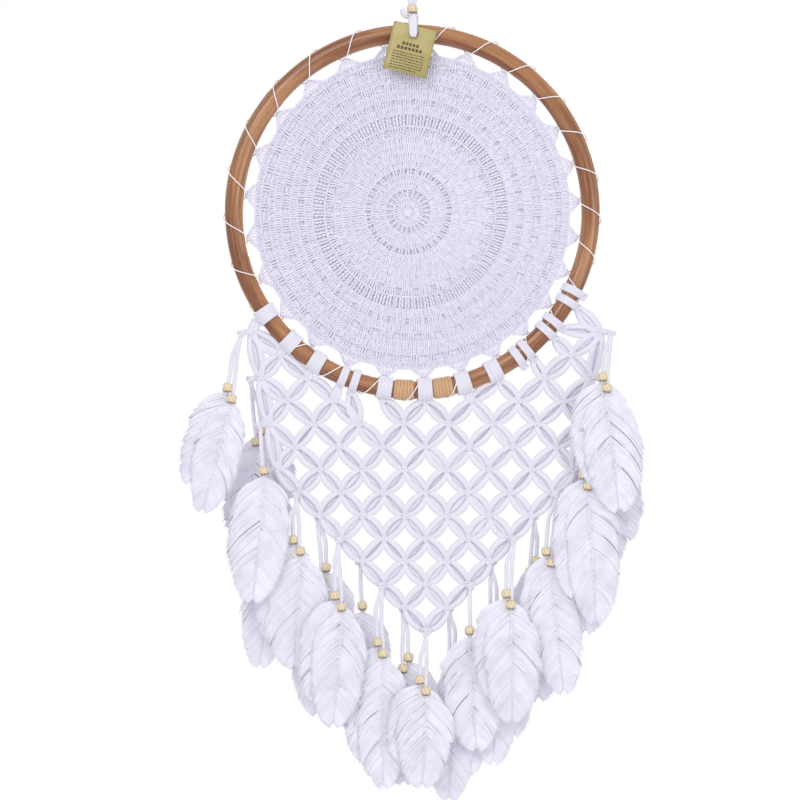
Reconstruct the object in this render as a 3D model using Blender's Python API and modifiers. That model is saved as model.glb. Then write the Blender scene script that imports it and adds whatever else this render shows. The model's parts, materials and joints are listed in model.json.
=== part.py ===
"""Dream catcher: a bent cane hoop with a crochet web laced into it, a macrame net hung from its lower
arc, and beaded strings with feathers along the net's edge. It hangs from a looped cord with a tag.

Metres, +Z up, seen from -Y. The origin is the point where the hanging loop bears on its nail.
"""

import math

import bmesh
import bpy
from mathutils import Vector

# Driving dimensions
HOOP_WIDTH = 0.320  # across the outside of the hoop
CANE = 0.016  # thickness of the cane
LOOP_RISE = 0.042  # nail to the top of the hoop
GAP = 0.0003  # between pieces that touch in the real thing
WEB_TIPS = 26  # points of the crochet web, and turns of its lacing
FEATHER_LENGTH = 0.104
FEATHER_WIDTH = 0.035
STRING_LENGTH = 0.042  # knot to the first bead
STRING_RADIUS = 0.0018
BEAD_RADIUS = 0.0042
THREAD_RADIUS = 0.00045
HANGER_RADIUS = 0.0012

# Worked out from them
CANE_RADIUS = CANE / 2
HOOP_RADIUS = (HOOP_WIDTH - CANE) / 2
CANE_TOP = Vector((0, 0, -LOOP_RISE - CANE_RADIUS))  # middle of the cane at the top of the hoop
HOOP_CENTRE = CANE_TOP - Vector((0, 0, HOOP_RADIUS))

# Cane hoop and its bindings
HOOP_STEPS = 90
JOINT_ANGLE = 274.0  # where the ends of the bent cane meet, under a band of the net
JOINT_GAP = 0.001
BINDING_ANGLES = (("left", 267.3), ("right", 279.9))
BINDING_WIDTH = 0.0165
BINDING_THICKNESS = 0.0009

# Lacing: it runs over the hoop from one end of the net to the other
LACING_TURNS = 16
LACING_STEPS = 14
LACING_FIRST = -7  # turn number at its left end
LACING_RADIUS = CANE_RADIUS + 2 * GAP + THREAD_RADIUS  # around the middle of the cane

# Crochet web
TIP_RADIUS = 0.918 * HOOP_RADIUS
LACE_REACH = HOOP_RADIUS - TIP_RADIUS - GAP - THREAD_RADIUS  # from the cane's middle to the web's points
WEB_THICKNESS = 0.0012
WEB_CENTRE_SHIFT = -0.027 * HOOP_RADIUS  # the web is stretched a little to the left
WEB_RINGS = (0.094, 0.15, 0.24, 0.29, 0.51, 0.56, 0.66, 0.74, 0.79, 0.86, 0.935, 1.0)  # of TIP_RADIUS
VALLEY = 0.945  # rim between two points
OPEN_RINGS = (0, 2, 4, 7, 9)  # every second mesh of these rings is open

# Macrame net
WIDEST = 7  # knots on each side of the middle
NET_INSET = 0.034  # from the hoop's outer edge in to the outermost knot
KNOT_STEP_X = (HOOP_WIDTH / 2 - NET_INSET) / WIDEST
KNOT_STEP_Z = 0.0195
NET_SHIFT = 0.0116  # the net's middle, right of the hoop's
FIRST_ROW_GAP = 0.0208  # from the bottom of the hoop to the first whole row
FIRST_ROW_DROP = HOOP_WIDTH / 2 + FIRST_ROW_GAP  # below the hoop's centre
LAST_ROW = 9
TOP_ROW = -4
ROW_SPREAD = 0.03  # the rows above row 2 are pulled wider by this much each
NET_THICKNESS = 0.003
NET_EDGE = 0.0045  # yarn outside the outermost knots
MESH_OPENING = 0.6
FLAT_SAG = CANE / 40  # a ten-sided tube's flats lie this far inside its circle
BAND_THICKNESS = BINDING_THICKNESS + 2 * GAP + FLAT_SAG  # the bands stand out past the bindings
BAND_WIDTH = 0.0125
NARROW_BAND = 0.0066
WIDE_BANDS = (215.0, 227.0, 237.5, 261.0, 274.0, 286.5, 297.0)
NARROW_BANDS = (247.3, 251.2, 305.8, 309.4, 318.2, 322.0, 329.8, 333.6)

# Beaded strings and feathers: they hang by turns in front of the net and behind it, and down its steep
# sides each overlaps the next like a shingle
FEATHER_THICKNESS = 0.0012
LAYER_STEP = 0.0053
FLARE = 5.0  # degrees that the outermost feathers hang outwards
FIRST_STRING_LEAN = 8.0  # the first string and its feather stand out to the left, stiffly
FIRST_FEATHER_LEAN = 15.0
MIDDLE_SHORTER = 0.7  # the feather at the point of the net
BEAD_DROP = 0.0095  # between the two beads of a string

# Hanger, its bead and the tag
HANGER_CLEARANCE = 0.0005  # to the lacing
HANGER_RING = LACING_RADIUS + THREAD_RADIUS + HANGER_RADIUS + HANGER_CLEARANCE  # around the cane's middle
HANGER_TOP = HANGER_RING + HANGER_RADIUS  # above the cane's middle
STRAND_SPACING = 0.0015
HANGER_BEAD_LOW = HANGER_TOP + 0.0046  # above the cane's middle
HANGER_BEAD_HEIGHT = 0.007
HANGER_BEAD_RADIUS = 0.00475
TAG_SIZE = (0.0374, 0.041)
TAG_THICKNESS = 0.0006
TAG_CLEARANCE = 0.0022  # behind the tag
TAG_Y = -HANGER_TOP - TAG_CLEARANCE
TAG_HOLE = 0.0018
TAG_HOLE_DROP = 0.006  # below the tag's top edge
TAG_TURN = 14.0
TAG_HOLE_PLACE = CANE_TOP + Vector((0.0014, TAG_Y, -0.0014))
TAG_PIVOT = CANE_TOP + Vector((0, 0, HANGER_TOP + 0.0032))
TAG_LOOP_RADIUS = 0.0005


def clear_scene():
    for obj in list(bpy.data.objects):
        bpy.data.objects.remove(obj, do_unlink=True)


def new_collection(name):
    collection = bpy.data.collections.new(name)
    bpy.context.scene.collection.children.link(collection)
    return collection


def material(name, colour, roughness):
    """A plain surface of this sRGB colour."""
    made = bpy.data.materials.new(name)
    made.use_nodes = True
    shader = made.node_tree.nodes["Principled BSDF"]
    linear = [(part / 255) ** 2.2 for part in colour]
    shader.inputs["Base Color"].default_value = (*linear, 1)
    shader.inputs["Roughness"].default_value = roughness
    made.diffuse_color = (*linear, 1)
    return made


def add_object(name, data, collection, surface=None):
    obj = bpy.data.objects.new(name, data)
    collection.objects.link(obj)
    if surface:
        data.materials.append(surface)
    return obj


def tube(name, points, radius, collection, surface, closed=False, sides=2, caps=True, widths=None):
    """A tube of this radius through the points. `widths` scales it at each point."""
    curve = bpy.data.curves.new(name, "CURVE")
    curve.dimensions = "3D"
    curve.bevel_depth = radius
    curve.bevel_resolution = sides
    curve.use_fill_caps = caps and not closed
    spline = curve.splines.new("POLY")
    spline.points.add(len(points) - 1)
    spline.use_cyclic_u = closed
    for i, (place, at) in enumerate(zip(spline.points, points)):
        place.co = (*at, 1)
        place.radius = widths[i] if widths else 1
    return add_object(name, curve, collection, surface)


def flat_piece(name, outlines, thickness, collection, surface):
    """A plate of this thickness, upright in X and Z, from closed outlines of (x, z) points."""
    curve = bpy.data.curves.new(name, "CURVE")
    curve.dimensions = "2D"
    curve.fill_mode = "BOTH"
    curve.extrude = thickness / 2
    for outline in outlines:
        spline = curve.splines.new("POLY")
        spline.points.add(len(outline) - 1)
        spline.use_cyclic_u = True
        for place, (x, z) in zip(spline.points, outline):
            place.co = (x, z, 0, 1)
    obj = add_object(name, curve, collection, surface)
    obj.rotation_euler.x = math.radians(90)
    return obj


def made_mesh(obj, collection):
    """The curve object as a mesh object, with its caps welded on."""
    bpy.context.view_layer.update()
    graph = bpy.context.evaluated_depsgraph_get()
    mesh = bpy.data.meshes.new_from_object(obj.evaluated_get(graph))
    work = bmesh.new()
    work.from_mesh(mesh)
    bmesh.ops.remove_doubles(work, verts=work.verts, dist=1e-6)
    work.to_mesh(mesh)
    work.free()
    name, place = obj.name, obj.matrix_world.copy()
    bpy.data.objects.remove(obj, do_unlink=True)
    made = bpy.data.objects.new(name, mesh)
    made.name = name
    collection.objects.link(made)
    made.matrix_world = place
    return made


def joined(objects, name, collection):
    """One mesh object that holds the meshes of all of these."""
    work = bmesh.new()
    for obj in objects:
        mesh = obj.data.copy()
        mesh.transform(obj.matrix_world)
        work.from_mesh(mesh)
        bpy.data.meshes.remove(mesh)
        bpy.data.objects.remove(obj, do_unlink=True)
    mesh = bpy.data.meshes.new(name)
    work.to_mesh(mesh)
    work.free()
    return add_object(name, mesh, collection)


def boolean(obj, other, operation):
    other.hide_render = True
    other.display_type = "WIRE"
    modifier = obj.modifiers.new(operation.title(), "BOOLEAN")
    modifier.operation = operation
    modifier.object = other


def smooth_through(points, steps, closed=False):
    """Points on a smooth (Catmull-Rom) curve through these, `steps` to each span."""
    count = len(points)
    spans = count if closed else count - 1
    found = []
    for i in range(spans):
        if closed:
            a, b, c, d = (points[(i + j) % count] for j in (-1, 0, 1, 2))
        else:
            a, b, c, d = (points[min(max(i + j, 0), count - 1)] for j in (-1, 0, 1, 2))
        for step in range(steps):
            t = step / steps
            found.append(
                0.5 * (2 * b + (c - a) * t + (2 * a - 5 * b + 4 * c - d) * t**2
                       + (3 * b - a - 3 * c + d) * t**3)
            )
    return found if closed else found + [points[-1]]


def on_hoop(angle, radius, y=0.0):
    """The point at this angle (degrees, from +X towards +Z) and radius from the hoop's centre."""
    turn = math.radians(angle)
    return HOOP_CENTRE + Vector((radius * math.cos(turn), y, radius * math.sin(turn)))


def arc_points(start, end, radius, steps):
    return [on_hoop(start + (end - start) * i / steps, radius) for i in range(steps + 1)]


# Cane hoop


def make_hoop(parts, surface):
    half_gap = math.degrees(JOINT_GAP / 2 / HOOP_RADIUS)
    start, end = JOINT_ANGLE + half_gap - 360, JOINT_ANGLE - half_gap
    tube("hoop", arc_points(start, end, HOOP_RADIUS, HOOP_STEPS), CANE_RADIUS, parts, surface, sides=3)


def sleeve(name, angle, width, thickness, collection, surface):
    """A band round the cane at this angle, as a shell that clears the cane."""
    half = math.degrees(width / 2 / HOOP_RADIUS)
    points = arc_points(angle - half, angle + half, HOOP_RADIUS, 2)
    open_tube = tube(name, points, CANE_RADIUS + GAP, collection, surface, sides=3, caps=False)
    band = made_mesh(open_tube, collection)
    shell = band.modifiers.new("Shell", "SOLIDIFY")
    shell.thickness = thickness
    shell.offset = 1
    return band


def make_bindings(parts, surface):
    for side, angle in BINDING_ANGLES:
        sleeve(f"cane_binding_{side}", angle, BINDING_WIDTH, BINDING_THICKNESS, parts, surface)


# Crochet web and its lacing


def tip_angle(place):
    """Angle of web point number `place`. The web is stretched, so its points are wider apart at the left."""
    even = 103.3 + 360 / WEB_TIPS * place
    return even + 5.2 * math.sin(math.radians(even - 155))


def web_point(radius, place):
    """A point of the web. The shift of its middle fades out towards the rim."""
    shift = WEB_CENTRE_SHIFT * (1 - radius / TIP_RADIUS)
    return on_hoop(tip_angle(place), radius) + Vector((shift, 0, 0))


def make_web(parts, surface):
    columns = 2 * WEB_TIPS
    work = bmesh.new()
    rings = []
    for part in WEB_RINGS:
        ring = []
        for column in range(columns):
            valley = part == WEB_RINGS[-1] and column % 2
            radius = VALLEY if valley else part
            ring.append(work.verts.new(web_point(radius * TIP_RADIUS, column / 2)))
        rings.append(ring)
    work.faces.new(rings[0])
    for row in range(len(rings) - 1):
        for column in range(columns):
            if row in OPEN_RINGS and column % 2:
                continue
            after = (column + 1) % columns
            work.faces.new((rings[row][column], rings[row + 1][column],
                            rings[row + 1][after], rings[row][after]))
    bmesh.ops.recalc_face_normals(work, faces=work.faces)
    mesh = bpy.data.meshes.new("crochet_web")
    work.to_mesh(mesh)
    work.free()
    web = add_object("crochet_web", mesh, parts, surface)
    shell = web.modifiers.new("Thickness", "SOLIDIFY")
    shell.thickness = WEB_THICKNESS
    shell.offset = 0


def lacing_point(turn):
    """From each web point the thread crosses the front of the cane clockwise and comes back behind it."""
    around = 2 * math.pi * turn
    dip = (LACE_REACH - LACING_RADIUS) * max(0.0, math.cos(around)) ** 4
    reach = LACING_RADIUS + dip
    return on_hoop(tip_angle(-turn), HOOP_RADIUS - reach * math.cos(around), -reach * math.sin(around))


def make_lacing(parts, surface):
    steps = range(LACING_TURNS * LACING_STEPS + 1)
    points = [lacing_point(LACING_FIRST + step / LACING_STEPS) for step in steps]
    tube("web_lacing", points, THREAD_RADIUS, parts, surface, sides=0)


# Macrame net


def knot_place(column, row):
    spread = 1 + ROW_SPREAD * max(0, 2 - row)
    return Vector((NET_SHIFT + KNOT_STEP_X * spread * column, 0,
                   HOOP_CENTRE.z - FIRST_ROW_DROP - KNOT_STEP_Z * row))


def is_knot(column, row):
    if (column + row) % 2 == 0 or not TOP_ROW <= row <= LAST_ROW:
        return False
    clear = HOOP_RADIUS + CANE_RADIUS + NET_EDGE
    return abs(column) <= min(WIDEST, LAST_ROW - row) and (knot_place(column, row) - HOOP_CENTRE).length > clear


def edge_knots():
    """The knots that carry a string, from the top left round the point of the net to the top right."""
    left = [(-WIDEST, row) for row in range(TOP_ROW, LAST_ROW - WIDEST, 2)]
    left += [(row - LAST_ROW, row) for row in range(LAST_ROW - WIDEST, LAST_ROW)]
    return left + [(0, LAST_ROW)] + [(-column, row) for column, row in reversed(left)]


def net_outline():
    """Arc under the hoop from left to right, then round the edge knots from right to left."""
    radius = HOOP_RADIUS + CANE_RADIUS + BINDING_THICKNESS + 3 * GAP
    start, end = WIDE_BANDS[0], NARROW_BANDS[-1]
    arc = arc_points(start, end, radius, 24)
    outline = [(at.x, at.z) for at in arc]
    for column, row in reversed(edge_knots()):
        side = (column > 0) - (column < 0)
        at = knot_place(column, row)
        outline.append((at.x + side * NET_EDGE, at.z - (NET_EDGE if row >= 2 else 0)))
    return outline


def mesh_openings(guides):
    """A diamond through the net between each four knots."""
    found = []
    for row in range(TOP_ROW, LAST_ROW):
        for column in range(-WIDEST, WIDEST + 1):
            corners = ((column - 1, row), (column, row - 1), (column + 1, row), (column, row + 1))
            if not all(is_knot(*corner) for corner in corners):
                continue
            middle = sum((knot_place(*corner) for corner in corners), Vector()) / 4
            outline = [middle.lerp(knot_place(*corner), MESH_OPENING) for corner in corners]
            outline = [(at.x, at.z) for at in outline]
            cut = flat_piece("opening", [outline], 3 * NET_THICKNESS, guides, None)
            found.append(made_mesh(cut, guides))
    return joined(found, "net_openings", guides)


def applied(obj, collection):
    """The object with its modifiers applied."""
    bpy.context.view_layer.update()
    graph = bpy.context.evaluated_depsgraph_get()
    mesh = bpy.data.meshes.new_from_object(obj.evaluated_get(graph))
    made = bpy.data.objects.new(obj.name, mesh)
    collection.objects.link(made)
    made.matrix_world = obj.matrix_world
    bpy.data.objects.remove(obj, do_unlink=True)
    return made


def make_net(parts, guides, surface):
    panel = flat_piece("macrame_net", [net_outline()], NET_THICKNESS, parts, surface)
    panel = made_mesh(panel, parts)
    boolean(panel, mesh_openings(guides), "DIFFERENCE")
    bands = [sleeve("band", angle, BAND_WIDTH, BAND_THICKNESS, guides, None) for angle in WIDE_BANDS]
    bands += [sleeve("band", angle, NARROW_BAND, BAND_THICKNESS, guides, None) for angle in NARROW_BANDS]
    boolean(panel, joined([applied(band, guides) for band in bands], "net_bands", guides), "UNION")


# Beaded strings and feathers


def vary(number, phase, amount):
    """A steady spread about 1, so that no two strings are alike."""
    return 1 + amount * math.sin(2.4 * number + phase)


def bead_profile(middle, count=5):
    """(height, width as a share of the string's) down over one bead."""
    profile = []
    for i in range(count):
        across = -1 + 2 * i / (count - 1)
        width = math.sqrt(max(0.0, 1 - (0.9 * across) ** 2)) * BEAD_RADIUS
        profile.append((middle - 0.9 * across * BEAD_RADIUS, width / STRING_RADIUS))
    return profile


def string_profile(number):
    """Heights and widths down the string from its hinge, and the height of its lower end."""
    first = -STRING_LENGTH * vary(number, 0.6, 0.14)
    beads = [first] if number % 3 == 2 else [first, first - BEAD_DROP]
    low = beads[-1] - BEAD_RADIUS - 0.001
    profile = [(0.002, 1.0), (0.3 * first, 1.0), (0.7 * first, 1.0)]
    for bead in beads:
        profile += [(bead + BEAD_RADIUS + 0.0003, 1.0)] + bead_profile(bead)
    return profile + [(low, 1.0)], low


def feather_outline(length, width):
    """Quill at the top, then both edges of the vane down to a blunt tip."""
    quill, steps = 0.09 * length, 7
    half_quill = 0.0011
    right = [(half_quill, 0), (half_quill, -quill)]
    for i in range(1, steps):
        down = i / steps
        wide = width / 2 * math.sin(math.pi * down**0.7) ** 0.6
        right.append((wide, -quill - down * (length - quill)))
    left = [(-x, z) for x, z in reversed(right)]
    return left[-1:] + right + [(0, -length)] + left[:-1]


def layer_start():
    return NET_THICKNESS / 2 + GAP + STRING_RADIUS


def layer_steps():
    """Layers out from the net for each pendant. Neighbours on one face alternate, so each can swing alone,
    and the topmost one at each side hangs outside the one below it."""
    count = len(edge_knots())
    steps = [number // 2 % 2 for number in range(count)]
    for topmost, below in ((0, 2), (1, 3), (count - 2, count - 4), (count - 1, count - 3)):
        steps[topmost] = steps[below] + 1
    return steps


def layer_of(number):
    """Y of this pendant: even ones hang in front of the net and odd ones behind it."""
    depth = layer_start() + LAYER_STEP * layer_steps()[number]
    return depth if number % 2 else -depth


def make_pendant(number, knot, parts, string_surface, feather_surface):
    """One string with its beads and its feather, on an empty on the hinge's axis at its knot."""
    column, row = knot
    side = (column > 0) - (column < 0)
    outward = 0.008 if abs(column) == WIDEST else 0.002
    layer = layer_of(number)
    pivot = bpy.data.objects.new(f"pivot_{number + 1:02d}", None)
    pivot.location = knot_place(column, row) + Vector((side * outward, 0, -0.001))
    parts.objects.link(pivot)

    length = FEATHER_LENGTH * vary(number, 2.0, 0.09) * (1.0 if column else MIDDLE_SHORTER)
    width = FEATHER_WIDTH * vary(number, 4.1, 0.08)
    profile, low = string_profile(number)
    if number == 0:
        turn = math.radians(FIRST_FEATHER_LEAN)
        lean = math.tan(math.radians(FIRST_STRING_LEAN))
    else:
        # the feather hangs turned outwards, and its middle stays straight below the knot
        turn = -math.radians(FLARE * column / WIDEST)
        lean = length / 2 * math.sin(turn) / low

    start = math.copysign(layer_start(), layer)
    points = []
    for height, _ in profile:
        share = min(1.0, max(0.0, -height / 0.022))
        y = start + (layer - start) * share * share * (3 - 2 * share)
        points.append(Vector((lean * height, y, height)))
    name = f"beaded_string_{number + 1:02d}"
    string = tube(name, points, STRING_RADIUS, parts, string_surface, widths=[w for _, w in profile])
    string.parent = pivot

    outline = feather_outline(length, width)
    feather = flat_piece(f"feather_{number + 1:02d}", [outline], FEATHER_THICKNESS, parts, feather_surface)
    feather.parent = pivot
    feather.location = (lean * low, layer, low - GAP)
    feather.rotation_euler.y = turn


def make_pendants(parts, string_surface, feather_surface):
    for number, knot in enumerate(edge_knots()):
        make_pendant(number, knot, parts, string_surface, feather_surface)


# Hanger and tag


def make_hanging_cord(parts, surface):
    """A closed loop: over the nail, down through the bead, round the cane and up again."""
    top = -CANE_TOP.z + HANGER_RADIUS
    left = [Vector((-0.0022, 0, top - 0.0008)), Vector((-0.0042, 0, top - 0.0055)),
            Vector((-0.0032, 0, top - 0.0155)), Vector((-STRAND_SPACING, 0, 0.0255)),
            Vector((-STRAND_SPACING, 0, 0.0195)), Vector((-STRAND_SPACING, 0, 0.0140))]
    for step in range(8):
        turn = math.radians(24 + (180 - 24) * step / 8)
        x = -STRAND_SPACING * (1 - step / 8)
        left.append(Vector((x, -HANGER_RING * math.sin(turn), HANGER_RING * math.cos(turn))))
    bottom = Vector((0, 0, -HANGER_RING))
    right = [Vector((-at.x, -at.y, at.z)) for at in reversed(left)]
    points = smooth_through(left + [bottom] + right, 2, closed=True)
    cord = tube("hanging_cord", points, HANGER_RADIUS, parts, surface, closed=True)
    cord.location = CANE_TOP


def make_hanger_bead(parts, surface):
    """A barrel bead with a hole for both strands, turned round Z."""
    hole = STRAND_SPACING + HANGER_RADIUS + GAP
    half = HANGER_BEAD_HEIGHT / 2
    outer = [(HANGER_BEAD_RADIUS - 0.0013 * abs(i / 3) ** 2.5, -half * i / 3) for i in range(-3, 4)]
    ring = outer + [(hole, -half), (hole, half)]
    mesh = bpy.data.meshes.new("hanger_bead")
    mesh.from_pydata([(x, 0, z) for x, z in ring], [(i, (i + 1) % len(ring)) for i in range(len(ring))], [])
    bead = add_object("hanger_bead", mesh, parts, surface)
    bead.location = CANE_TOP + Vector((0, 0, HANGER_BEAD_LOW + half))
    screw = bead.modifiers.new("Turned", "SCREW")
    screw.steps = screw.render_steps = 16
    screw.use_merge_vertices = True
    screw.merge_threshold = 0.00001


def make_tag(parts, surface):
    """A card with a hole near its top edge, hung a little turned."""
    half = TAG_SIZE[0] / 2
    card = [(-half, TAG_HOLE_DROP), (half, TAG_HOLE_DROP),
            (half, TAG_HOLE_DROP - TAG_SIZE[1]), (-half, TAG_HOLE_DROP - TAG_SIZE[1])]
    hole = [(TAG_HOLE * math.cos(math.tau * i / 12), TAG_HOLE * math.sin(math.tau * i / 12))
            for i in range(12)]
    tag = flat_piece("tag", [card, hole], TAG_THICKNESS, parts, surface)
    tag.rotation_euler.y = math.radians(TAG_TURN)
    return tag


def make_tag_loop(parts, surface):
    """A closed loop through the tag's hole and slack round the hanger's strands below the bead."""
    route = [(0.0014, -0.0146, -0.0014), (0.0008, -0.0162, 0.0002), (-0.0010, -0.0160, 0.0040),
             (-0.0028, -0.0156, 0.0088), (-0.0040, -0.0090, 0.0142), (-0.0038, 0.0005, 0.0156),
             (0.0, 0.0040, 0.0156), (0.0038, 0.0005, 0.0156), (0.0044, -0.0060, 0.0142),
             (0.0044, -0.0112, 0.0098), (0.0034, -0.0131, 0.0044), (0.0022, -0.0131, 0.0006)]
    points = smooth_through([Vector(at) for at in route], 2, closed=True)
    return tube("tag_loop", points, TAG_LOOP_RADIUS, parts, surface, closed=True)


def make_tag_group(parts, tag_surface, loop_surface):
    pivot = bpy.data.objects.new("tag_pivot", None)
    pivot.location = TAG_PIVOT
    parts.objects.link(pivot)
    tag = make_tag(parts, tag_surface)
    tag.parent = pivot
    tag.location = TAG_HOLE_PLACE - TAG_PIVOT
    loop = make_tag_loop(parts, loop_surface)
    loop.parent = pivot
    loop.location = CANE_TOP - TAG_PIVOT


def main():
    clear_scene()
    parts = new_collection("dream_catcher")
    guides = new_collection("guides")
    cane = material("varnished cane", (156, 104, 62), 0.3)
    binding = material("peeled cane strip", (214, 166, 112), 0.45)
    cotton = material("white cotton", (222, 218, 238), 0.85)
    yarn = material("white jersey yarn", (234, 231, 242), 0.9)
    feather = material("white feather", (236, 234, 243), 0.8)
    wood = material("pale wood", (224, 204, 164), 0.5)
    card = material("gold card", (190, 178, 122), 0.55)
    make_hoop(parts, cane)
    make_bindings(parts, binding)
    make_web(parts, cotton)
    make_lacing(parts, cotton)
    make_net(parts, guides, yarn)
    make_pendants(parts, yarn, feather)
    make_hanging_cord(parts, yarn)
    make_hanger_bead(parts, wood)
    make_tag_group(parts, card, cotton)


main()
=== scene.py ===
"""Dream catcher: the looks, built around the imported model.

A varnished rattan hoop with a crocheted cotton web laced into it, a net of jersey yarn hung from its
lower arc, and beaded strings with white feathers along the net's edge. Metres, +Z up, seen from -Y.
"""

import json
import math

import bpy
import numpy as np
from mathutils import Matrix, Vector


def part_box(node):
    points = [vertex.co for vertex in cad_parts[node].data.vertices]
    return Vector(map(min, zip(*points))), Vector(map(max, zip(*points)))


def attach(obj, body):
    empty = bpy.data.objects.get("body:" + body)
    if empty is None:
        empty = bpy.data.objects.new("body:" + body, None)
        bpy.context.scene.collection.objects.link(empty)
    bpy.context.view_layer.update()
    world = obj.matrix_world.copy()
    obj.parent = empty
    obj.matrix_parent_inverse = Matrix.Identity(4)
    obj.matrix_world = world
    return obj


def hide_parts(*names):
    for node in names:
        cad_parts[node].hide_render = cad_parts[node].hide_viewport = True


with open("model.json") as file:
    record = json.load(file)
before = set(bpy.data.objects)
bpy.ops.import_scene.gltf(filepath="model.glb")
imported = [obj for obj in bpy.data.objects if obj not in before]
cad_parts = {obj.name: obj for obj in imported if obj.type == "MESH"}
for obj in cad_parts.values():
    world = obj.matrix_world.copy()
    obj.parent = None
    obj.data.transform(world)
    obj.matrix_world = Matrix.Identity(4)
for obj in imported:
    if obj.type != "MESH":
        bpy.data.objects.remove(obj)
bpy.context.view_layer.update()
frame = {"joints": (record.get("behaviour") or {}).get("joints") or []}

# The frame's places
PIVOTS = {joint["child"]: np.array(joint["pos_m"]) for joint in frame["joints"]}
CANE_TOP = PIVOTS["hoop"]  # middle of the cane at the top of the hoop
HOOP_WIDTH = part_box("hoop")[1].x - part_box("hoop")[0].x
CANE_RADIUS = 0.008
HOOP_RADIUS = HOOP_WIDTH / 2 - CANE_RADIUS
HOOP_CENTRE = CANE_TOP - np.array((0, 0, HOOP_RADIUS))
GAP = 0.0003

# Cane hoop and bindings
JOINT_ANGLE = 274.0  # where the ends of the bent cane meet
JOINT_GAP = 0.001
CANE_NODES = (53.0, 141.0, 196.0, 311.0)  # growth rings of the cane, degrees round the hoop
NODE_SWELL = 0.00035
BINDING_ANGLES = {"left": 267.3, "right": 279.9}
BINDING_WIDTH = 0.0165
BINDING_TURNS = 13
BINDING_THICKNESS = 0.0009

# Crochet web
WEB_TIPS = 26
TIP_RADIUS = HOOP_RADIUS - CANE_RADIUS - 0.0014
WEB_CENTRE_SHIFT = -0.027 * HOOP_RADIUS
COTTON = 0.00066  # radius of the crochet cotton
CLOSE_COTTON = 0.00074  # the same, where close stitches let it swell
POST = 0.0019  # pitch of the close posts
STITCH = 0.0030  # length of a chain stitch

# Lacing
THREAD_RADIUS = 0.00048
LACING_RADIUS = CANE_RADIUS + 2 * GAP + THREAD_RADIUS
LACE_REACH = HOOP_RADIUS - TIP_RADIUS + THREAD_RADIUS

# Macrame net
WIDEST = 7
KNOT_STEP_X = (HOOP_WIDTH / 2 - 0.034) / WIDEST
KNOT_STEP_Z = 0.0195
NET_SHIFT = 0.0116
FIRST_ROW_DROP = HOOP_WIDTH / 2 + 0.0208
LAST_ROW = 9
TOP_ROW = -4
ROW_SPREAD = 0.03
NET_EDGE = 0.0045
YARN = 0.0028  # half width of the jersey yarn where it is loose
WIDE_BANDS = (215.0, 227.0, 237.5, 261.0, 274.0, 286.5, 297.0)
NARROW_BANDS = (247.3, 251.2, 305.8, 309.4, 318.2, 322.0, 329.8, 333.6)

# Strings, beads and feathers
STRING_LENGTH = 0.042
STRING_RADIUS = 0.0018
BEAD_RADIUS = 0.0042
BEAD_DROP = 0.0095
FEATHER_LENGTH = 0.104
FEATHER_WIDTH = 0.049
FLARE = 5.0
FIRST_STRING_LEAN = 8.0
FIRST_FEATHER_LEAN = 15.0
MIDDLE_SHORTER = 0.7
BARBS = 92  # on each side of a feather
LAYER_START = 0.0036
LAYER_STEP = 0.0053
FEATHER_DEPTH = 0.0004  # the two feathers of a pendant hang this far before and behind its layer

# Hanger and tag
HANGER_RADIUS = 0.0012
STRAND_SPACING = 0.0015
HANGER_RING = 0.0112
TAG_SIZE = (0.0374, 0.041)
TAG_THICKNESS = 0.0006
TAG_HOLE = 0.0018
TAG_HOLE_DROP = 0.006
TAG_TURN = 14.0
TAG_HOLE_PLACE = CANE_TOP + np.array((0.0014, -0.0146, -0.0014))

random = np.random.default_rng(11)


# Camera, light and stage


def make_camera():
    """The camera looks straight at the middle of the picture's field, 0.68 m across at the hoop."""
    data = bpy.data.cameras.new("camera")
    camera = bpy.data.objects.new("camera", data)
    bpy.context.scene.collection.objects.link(camera)
    distance, field = 2.2, 0.68
    data.sensor_width = 36
    data.lens = data.sensor_width * distance / field
    data.clip_end = 50
    camera.location = (-0.0105, -distance, -0.3615)
    camera.rotation_euler = (math.radians(90), 0, 0)
    bpy.context.scene.camera = camera


def area_light(name, place, target, size, power):
    data = bpy.data.lights.new(name, "AREA")
    data.shape = "DISK"
    data.size = size
    data.energy = power
    light = bpy.data.objects.new(name, data)
    light.location = place
    light.rotation_euler = (Vector(target) - Vector(place)).to_track_quat("-Z", "Y").to_euler()
    bpy.context.scene.collection.objects.link(light)


def make_light():
    """Soft studio light on a white surround. The surround lights the piece less than it shows itself."""
    scene = bpy.context.scene
    scene.view_settings.view_transform = "Standard"
    world = bpy.data.worlds.new("studio")
    world.use_nodes = True
    scene.world = world
    tree = world.node_tree
    background = tree.nodes["Background"]
    seen = add_node(tree, "LightPath").outputs["Is Camera Ray"]
    strength = add_node(tree, "MapRange", {"Value": seen, "To Min": 0.74, "To Max": 1.0})
    background.inputs["Color"].default_value = (1, 1, 1, 1)
    tree.links.new(strength.outputs[0], background.inputs["Strength"])
    area_light("key", (-0.9, -2.0, 0.9), (0, 0, -0.3), 1.5, 18)
    area_light("fill", (1.5, -1.7, -0.2), (0, 0, -0.35), 1.6, 10)
    area_light("back", (0.6, 2.0, 0.6), (0, 0, -0.35), 1.6, 16)


def make_floor(finish):
    """A plain pale floor, well below the hanging piece."""
    half, level = 1.6, -1.35
    corners = [(-half, -half, level), (half, -half, level), (half, half, level), (-half, half, level)]
    mesh = bpy.data.meshes.new("floor")
    mesh.from_pydata(corners, [], [(0, 1, 2, 3)])
    mesh.materials.append(finish)
    floor = bpy.data.objects.new("floor", mesh)
    bpy.context.scene.collection.objects.link(floor)


# Finishes


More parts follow.
